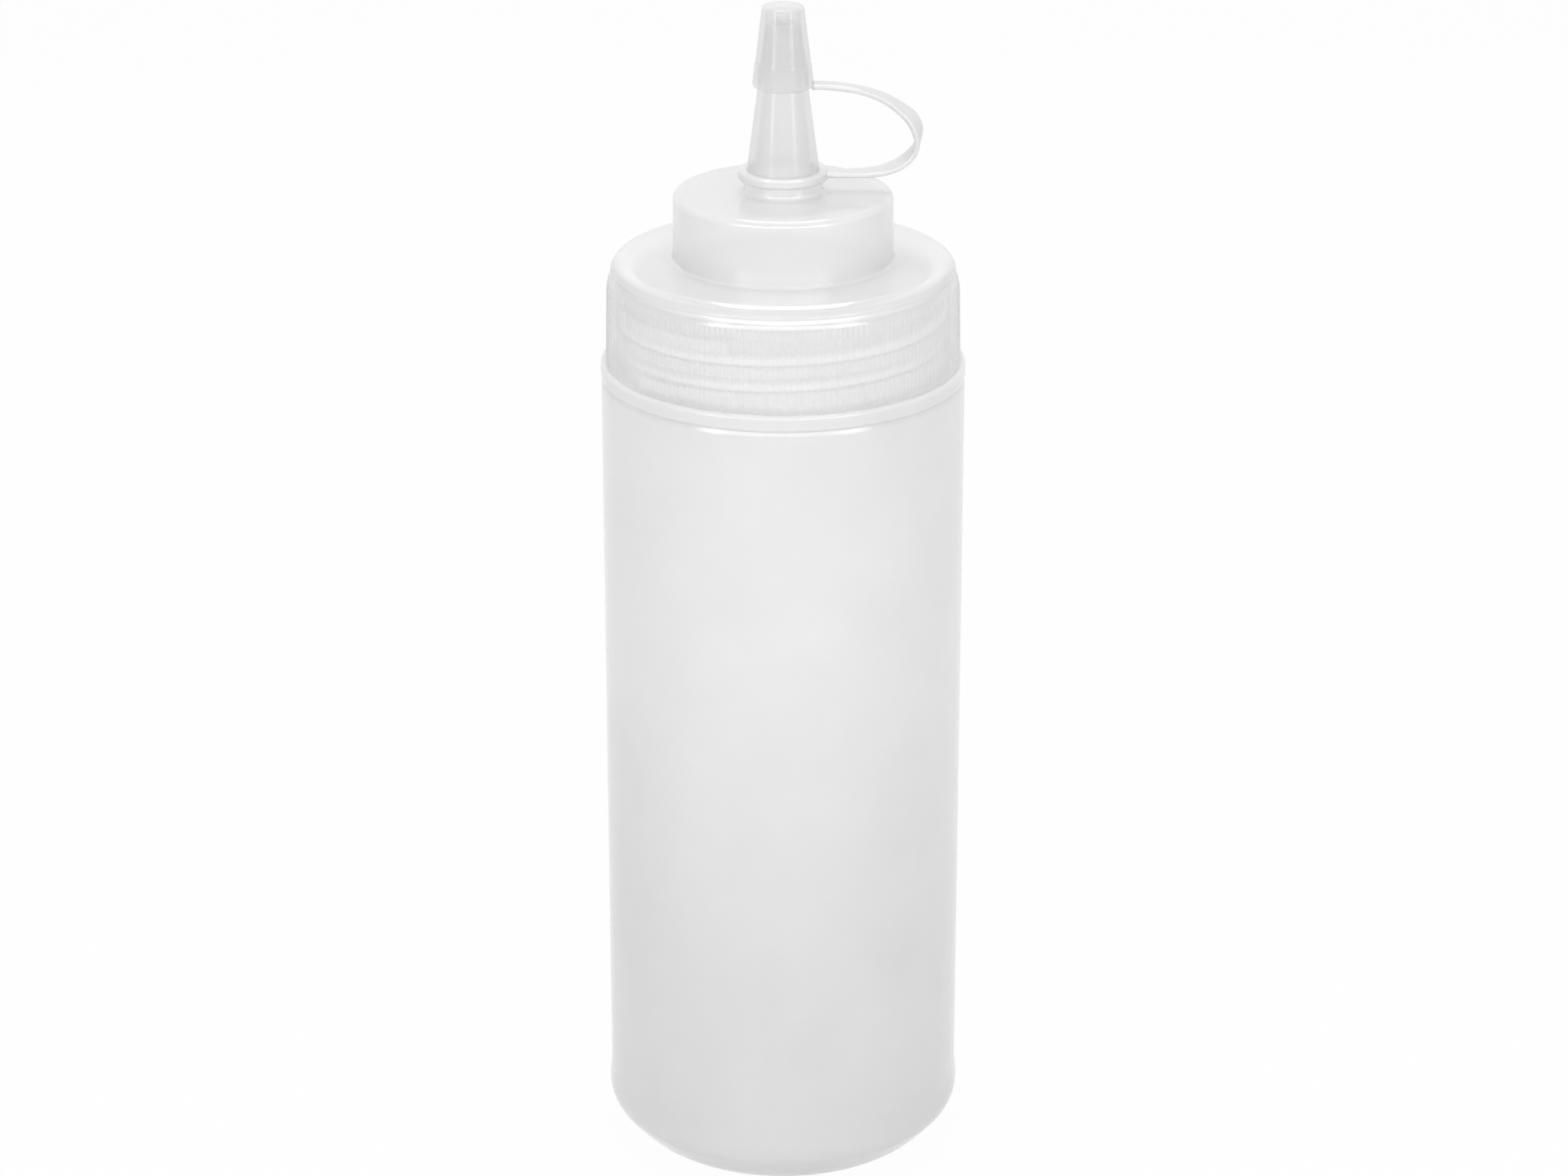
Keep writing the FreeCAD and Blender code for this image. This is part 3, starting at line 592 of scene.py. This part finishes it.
class DISPENSER_OT_bottle(bpy.types.Operator):
    """Model the bottle with its foot, shoulder groove, flange and threaded neck"""
    bl_idname = "dispenser.bottle"
    bl_label = "Bottle"

    def execute(self, context):
        sizes = context.scene.dispenser_sizes
        bottle = start_piece("bottle_shell")
        draw_outline(bottle, BOTTLE_OUTLINE, closed=False)
        spin_outline(sizes.turn_steps)
        smooth(bottle)
        thread = wind_thread("neck_thread", NECK_THREAD_OUTLINE, NECK_THREAD_START, sizes, NECK_THREAD_SINK)
        finish_piece(bottle, MATERIALS["bottle"])
        finish_piece(thread, MATERIALS["neck_thread"])
        for part in (bottle, thread):
            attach(part, "bottle")
            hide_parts("bottle")
        return {"FINISHED"}


class DISPENSER_OT_washer(bpy.types.Operator):
    """Finish the sealing washer under the cap"""
    bl_idname = "dispenser.washer"
    bl_label = "Sealing washer"

    def execute(self, context):
        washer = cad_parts["sealing_washer"]
        washer.data.materials.clear()
        washer.data.materials.append(MATERIALS["washer"])
        return {"FINISHED"}


class DISPENSER_OT_cap(bpy.types.Operator):
    """Model the screw cap with its ribbed skirt, plate, drum, collar, nozzle and inner thread"""
    bl_idname = "dispenser.cap"
    bl_label = "Screw cap"

    def execute(self, context):
        sizes = context.scene.dispenser_sizes
        cap = start_piece("cap_shell")
        draw_outline(cap, CAP_OUTLINE, closed=True)
        columns = 2 * sizes.rib_count
        spin_outline(columns)
        self.cut_ribs(cap, columns, sizes.rib_slope, sizes.rib_depth)
        smooth(cap)
        thread = wind_thread("cap_thread", CAP_THREAD_OUTLINE, CAP_THREAD_START, sizes, CAP_THREAD_SINK)
        join(cap, thread)
        finish_piece(cap, MATERIALS["cap"])
        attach(cap, "cap")
        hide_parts("screw_cap")
        return {"FINISHED"}

    def cut_ribs(self, cap, columns, slope, depth):
        """Sink every second column of faces on the skirt, so that ribs are left between them."""
        def in_groove(middle):
            column = math.floor(math.atan2(middle.y, middle.x) / FULL_TURN * columns)
            outside = math.hypot(middle.x, middle.y) > RIBS_INSIDE * MM
            return outside and RIBS_LOW * MM < middle.z < RIBS_HIGH * MM and column % 2 == 0

        select_faces(cap, in_groove)
        bpy.ops.mesh.inset(thickness=slope, depth=-depth, use_boundary=True, use_even_offset=True)


class DISPENSER_OT_ring(bpy.types.Operator):
    """Model the ring that turns on the nozzle's collar"""
    bl_idname = "dispenser.ring"
    bl_label = "Tether ring"

    def execute(self, context):
        ring = start_piece("tether_loop")
        draw_outline(ring, RING_OUTLINE, closed=True)
        spin_outline(context.scene.dispenser_sizes.turn_steps)
        smooth(ring)
        finish_piece(ring, MATERIALS["tether"])
        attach(ring, "ring")
        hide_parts("tether_ring")
        return {"FINISHED"}


class DISPENSER_OT_strap(bpy.types.Operator):
    """Model the bent strap and cut it where it bends"""
    bl_idname = "dispenser.strap"
    bl_label = "Strap"

    def execute(self, context):
        sizes = context.scene.dispenser_sizes
        whole = self.sweep(sizes)
        elbow = self.copy(whole, "strap_bend")
        self.cut(elbow, keep_outer=True)
        self.cut(whole, keep_outer=False)
        bpy.ops.object.mode_set(mode="EDIT")
        bpy.ops.mesh.separate(type="LOOSE")
        bpy.ops.object.mode_set(mode="OBJECT")
        ends = sorted(bpy.context.selected_objects, key=lambda part: part.data.vertices[0].co.z)
        if len(ends) != 2:
            raise RuntimeError("the strap was cut into %d ends" % len(ends))
        root, tip = ends
        root.name = root.data.name = "strap_root"
        tip.name = tip.data.name = "strap_tip"
        for part in (root, elbow, tip):
            pick(part)
            bpy.ops.object.shade_smooth()
            finish_piece(part, MATERIALS["tether"])
        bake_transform(root)
        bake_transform(elbow)
        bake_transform(tip)
        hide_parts("strap_lower")
        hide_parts("strap_lower", "strap_upper")
        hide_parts("strap_upper")
        return {"FINISHED"}

    def sweep(self, sizes):
        """The whole strap: a rounded band swept along its middle line."""
        bpy.ops.object.select_all(action="DESELECT")
        bpy.ops.curve.primitive_nurbs_path_add(radius=MM, location=CENTRE)
        line = bpy.context.active_object
        spline = line.data.splines[0]
        spline.points.add(len(STRAP_LINE) - len(spline.points))
        for point, (radius, height, twist) in zip(spline.points, STRAP_LINE):
            point.co = (*place(radius, height), 1.0)
            point.tilt = math.radians(twist)
        spline.order_u = 4
        spline.use_endpoint_u = True
        spline.resolution_u = 8
        line.data.twist_mode = "MINIMUM"
        section = self.section(sizes)
        line.data.bevel_mode = "OBJECT"
        line.data.bevel_object = section
        line.data.use_fill_caps = True
        pick(line)
        bpy.ops.object.convert(target="MESH")
        strap = bpy.context.active_object
        bpy.data.objects.remove(section)
        bpy.ops.object.mode_set(mode="EDIT")
        close_up()
        bpy.ops.object.mode_set(mode="OBJECT")
        return strap

    def section(self, sizes):
        """The strap's section as a closed curve: a rounded rectangle."""
        bpy.ops.object.select_all(action="DESELECT")
        bpy.ops.mesh.primitive_plane_add(size=1.0, location=CENTRE)
        section = bpy.context.active_object
        section.scale = (sizes.strap_width, sizes.strap_thickness, 1.0)
        bpy.ops.object.transform_apply(location=False, rotation=False, scale=True)
        bpy.ops.object.mode_set(mode="EDIT")
        bpy.ops.mesh.select_all(action="SELECT")
        bpy.ops.mesh.bevel(offset=sizes.strap_round, offset_type="OFFSET", affect="VERTICES", segments=4)
        bpy.ops.mesh.select_all(action="SELECT")
        bpy.ops.mesh.delete(type="ONLY_FACE")
        bpy.ops.object.mode_set(mode="OBJECT")
        bpy.ops.object.convert(target="CURVE")
        return bpy.context.active_object

    def copy(self, piece, name):
        """A copy of a piece with its own mesh."""
        twin = piece.copy()
        twin.data = piece.data.copy()
        twin.name = twin.data.name = name
        bpy.context.scene.collection.objects.link(twin)
        return twin

    def cut(self, piece, keep_outer):
        """Cut the strap across both runs and keep its outer bend or its two ends."""
        pick(piece)
        bpy.ops.object.mode_set(mode="EDIT")
        bpy.ops.mesh.select_all(action="SELECT")
        bpy.ops.mesh.bisect(plane_co=place(STRAP_CUT, 0), plane_no=(1, 0, 0),
                            clear_inner=keep_outer, clear_outer=not keep_outer)
        bpy.ops.object.mode_set(mode="OBJECT")


class DISPENSER_OT_tip_cap(bpy.types.Operator):
    """Model the tip cap with its sealing pin"""
    bl_idname = "dispenser.tip_cap"
    bl_label = "Tip cap"

    def execute(self, context):
        tip = start_piece("tip_cap_shell")
        draw_outline(tip, TIP_CAP_OUTLINE, closed=False)
        spin_outline(context.scene.dispenser_sizes.turn_steps)
        smooth(tip)
        finish_piece(tip, MATERIALS["tip_cap"])
        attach(tip, "tip_cap")
        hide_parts("tip_cap")
        return {"FINISHED"}


class DISPENSER_OT_stage(bpy.types.Operator):
    """Set the floor, the room, the lamps and the camera"""
    bl_idname = "dispenser.stage"
    bl_label = "Stage"

    def execute(self, context):
        stage = context.scene.dispenser_stage
        self.lay_floor()
        self.light_room(context.scene, stage.room_level)
        for name, location, size, power in LAMPS:
            self.hang_lamp(name, location, size, getattr(stage, power))
        self.set_camera(context.scene)
        context.scene.view_settings.view_transform = "Standard"
        return {"FINISHED"}

    def lay_floor(self):
        """A pale floor that shows white and keeps the bottle's shadow."""
        bpy.ops.object.select_all(action="DESELECT")
        bpy.ops.mesh.primitive_circle_add(
            vertices=FLOOR_SIDES, radius=FLOOR_RADIUS, fill_type="NGON", location=CENTRE)
        floor = bpy.context.active_object
        floor.name = floor.data.name = "floor"
        material = bpy.data.materials.new("Pale floor")
        material.use_nodes = True
        tree = material.node_tree
        tree.nodes.clear()
        out = add_node(tree, "ShaderNodeOutputMaterial")
        matt = add_node(tree, "ShaderNodeBsdfDiffuse")
        matt.inputs["Color"].default_value = FLOOR_GREY
        white = add_node(tree, "ShaderNodeEmission")
        mix = add_node(tree, "ShaderNodeMixShader")
        share = add_node(tree, "ShaderNodeMath", operation="MULTIPLY")
        share.inputs[1].default_value = FLOOR_WHITE
        tree.links.new(self.seen_directly(tree), share.inputs[0])
        tree.links.new(share.outputs[0], mix.inputs["Fac"])
        tree.links.new(matt.outputs["BSDF"], mix.inputs[1])
        tree.links.new(white.outputs["Emission"], mix.inputs[2])
        tree.links.new(mix.outputs["Shader"], out.inputs["Surface"])
        floor.data.materials.append(material)

    def seen_directly(self, tree):
        """A mask that is 1 for rays from the camera, a gloss or a clear wall."""
        ray = add_node(tree, "ShaderNodeLightPath")
        first = add_node(tree, "ShaderNodeMath", operation="MAXIMUM")
        both = add_node(tree, "ShaderNodeMath", operation="MAXIMUM")
        tree.links.new(ray.outputs["Is Camera Ray"], first.inputs[0])
        tree.links.new(ray.outputs["Is Glossy Ray"], first.inputs[1])
        tree.links.new(first.outputs[0], both.inputs[0])
        tree.links.new(ray.outputs["Is Transmission Ray"], both.inputs[1])
        return both.outputs[0]

    def light_room(self, scene, level):
        """A white room that lights matt surfaces at the given level."""
        world = bpy.data.worlds.new("White room")
        world.use_nodes = True
        tree = world.node_tree
        tree.nodes.clear()
        out = add_node(tree, "ShaderNodeOutputWorld")
        light = add_node(tree, "ShaderNodeBackground")
        strength = add_node(tree, "ShaderNodeMapRange")
        strength.inputs["To Min"].default_value = level
        strength.inputs["To Max"].default_value = 1.0
        tree.links.new(self.seen_directly(tree), strength.inputs["Value"])
        tree.links.new(strength.outputs["Result"], light.inputs["Strength"])
        light.inputs["Color"].default_value = (1.0, 1.0, 1.0, 1.0)
        tree.links.new(light.outputs["Background"], out.inputs["Surface"])
        scene.world = world

    def hang_lamp(self, name, location, size, power):
        """A soft rectangular lamp aimed at the middle of the bottle."""
        bpy.ops.object.light_add(type="AREA", location=location)
        lamp = bpy.context.active_object
        lamp.name = lamp.data.name = name
        lamp.data.shape = "RECTANGLE"
        lamp.data.size, lamp.data.size_y = size
        lamp.data.energy = power
        aim = Vector(LAMP_TARGET) - lamp.location
        lamp.rotation_euler = aim.to_track_quat("-Z", "Y").to_euler()

    def set_camera(self, scene):
        """The camera of the photograph: above the bottle, looking down at its front."""
        bpy.ops.object.camera_add(location=CAMERA_PLACE, rotation=(math.radians(CAMERA_TILT), 0.0, 0.0))
        camera = bpy.context.active_object
        camera.data.sensor_width = CAMERA_SENSOR
        camera.data.lens = CAMERA_LENS
        camera.data.clip_start = CAMERA_NEAR
        scene.camera = camera


class DISPENSER_PT_panel(bpy.types.Panel):
    """The dispenser's pieces and settings"""
    bl_idname = "DISPENSER_PT_panel"
    bl_label = "Sauce dispenser"
    bl_space_type = "VIEW_3D"
    bl_region_type = "UI"
    bl_category = "Sauce dispenser"

    def draw(self, context):
        for operator in OPERATORS:
            self.layout.operator(operator.bl_idname)
        scene = context.scene
        for settings in (scene.dispenser_sizes, scene.dispenser_colours, scene.dispenser_stage):
            box = self.layout.box()
            for key in settings.__annotations__:
                box.prop(settings, key)


OPERATORS = (
    DISPENSER_OT_bottle,
    DISPENSER_OT_washer,
    DISPENSER_OT_cap,
    DISPENSER_OT_ring,
    DISPENSER_OT_strap,
    DISPENSER_OT_tip_cap,
    DISPENSER_OT_stage,
)
SETTINGS = (DispenserSizes, DispenserColours, DispenserStage)
MATERIALS = {}


def mix_materials(colours):
    """Fill the table of materials from the chosen colours."""
    clouds = cloud_group()
    specks = speck_group()
    common = {
        "cloud_size": 45.0, "roughness": 0.07, "roughness_change": 0.05, "peel_size": 700.0,
        "peel_strength": 0.12, "peel_depth": 0.05 * MM, "speck_colour": colours.speck, "milkiness": 0.0,
        "milk_depth": 2 * MM, "light_stopped": 0.4, "cover": 1.0, "edge_cover": 1.0, "bend": 1.7, "shine": 1.0,
    }
    # Tones are pairs of a height in millimetres and a colour; several of them are painted light and shade.
    looks = {
        "bottle": {
            **common, "roughness": 0.12, "bend": 1.5, "shine": 0.8, "milkiness": 1.0,
            # The bottle's tones paint shade towards the foot and on the neck inside the cap, and light where
            # the neck rises from the flange.
            "tones": [(50, colours.bottle_foot_painted_shade), (120, colours.bottle), (164.5, colours.bottle),
                      (164.6, colours.neck_foot_painted_light), (167.5, colours.bottle_neck_painted_shade)],
        },
        "neck_thread": {
            **common, "roughness": 0.12, "bend": 1.5, "shine": 0.8,
            # The thread's one lighter tone is painted light.
            "tones": [(164, colours.neck_thread), (182, colours.neck_thread)],
        },
        "cap": {
            **common, "light_stopped": 0.25, "cover": 0.54, "edge_cover": 0.64,
            # The cap's tones paint a shaded band on the rim, light at the drum's foot and shade towards the
            # drum's top.
            "tones": [(182.2, colours.skirt), (182.6, colours.rim_painted_shade), (183.9, colours.rim_painted_shade),
                      (184.45, colours.cap), (196.5, colours.drum), (200, colours.drum), (206, colours.nozzle)],
        },
        "tether": {**common, "tones": [(203, colours.tether), (205, colours.strap)]},
        "tip_cap": {
            **common, "cover": 0.27, "edge_cover": 0.62,
            "tones": [(217, colours.tip_cap), (234, colours.tip_cap)],
        },
        "washer": {
            **common, "roughness": 0.6, "bend": 1.5, "shine": 0.5, "milkiness": 1.0, "light_stopped": 1.0,
            "tones": [(180, colours.washer), (184, colours.washer)],
        },
    }
    for name, look in looks.items():
        MATERIALS[name] = milky_plastic(name + "_plastic", look, clouds, specks)


def register():
    """Register the settings, the operators and the panel."""
    for kind in (*SETTINGS, *OPERATORS, DISPENSER_PT_panel):
        bpy.utils.register_class(kind)
    bpy.types.Scene.dispenser_sizes = bpy.props.PointerProperty(type=DispenserSizes)
    bpy.types.Scene.dispenser_colours = bpy.props.PointerProperty(type=DispenserColours)
    bpy.types.Scene.dispenser_stage = bpy.props.PointerProperty(type=DispenserStage)


def unregister():
    """Undo what register did."""
    del bpy.types.Scene.dispenser_stage
    del bpy.types.Scene.dispenser_colours
    del bpy.types.Scene.dispenser_sizes
    for kind in reversed((*SETTINGS, *OPERATORS, DISPENSER_PT_panel)):
        bpy.utils.unregister_class(kind)


def main():
    """Model every piece in order."""
    register()
    mix_materials(bpy.context.scene.dispenser_colours)
    bpy.ops.dispenser.bottle()
    bpy.ops.dispenser.washer()
    bpy.ops.dispenser.cap()
    bpy.ops.dispenser.ring()
    bpy.ops.dispenser.strap()
    bpy.ops.dispenser.tip_cap()
    bpy.ops.dispenser.stage()
    bpy.context.view_layer.update()


if __name__ == "__main__":
    main()
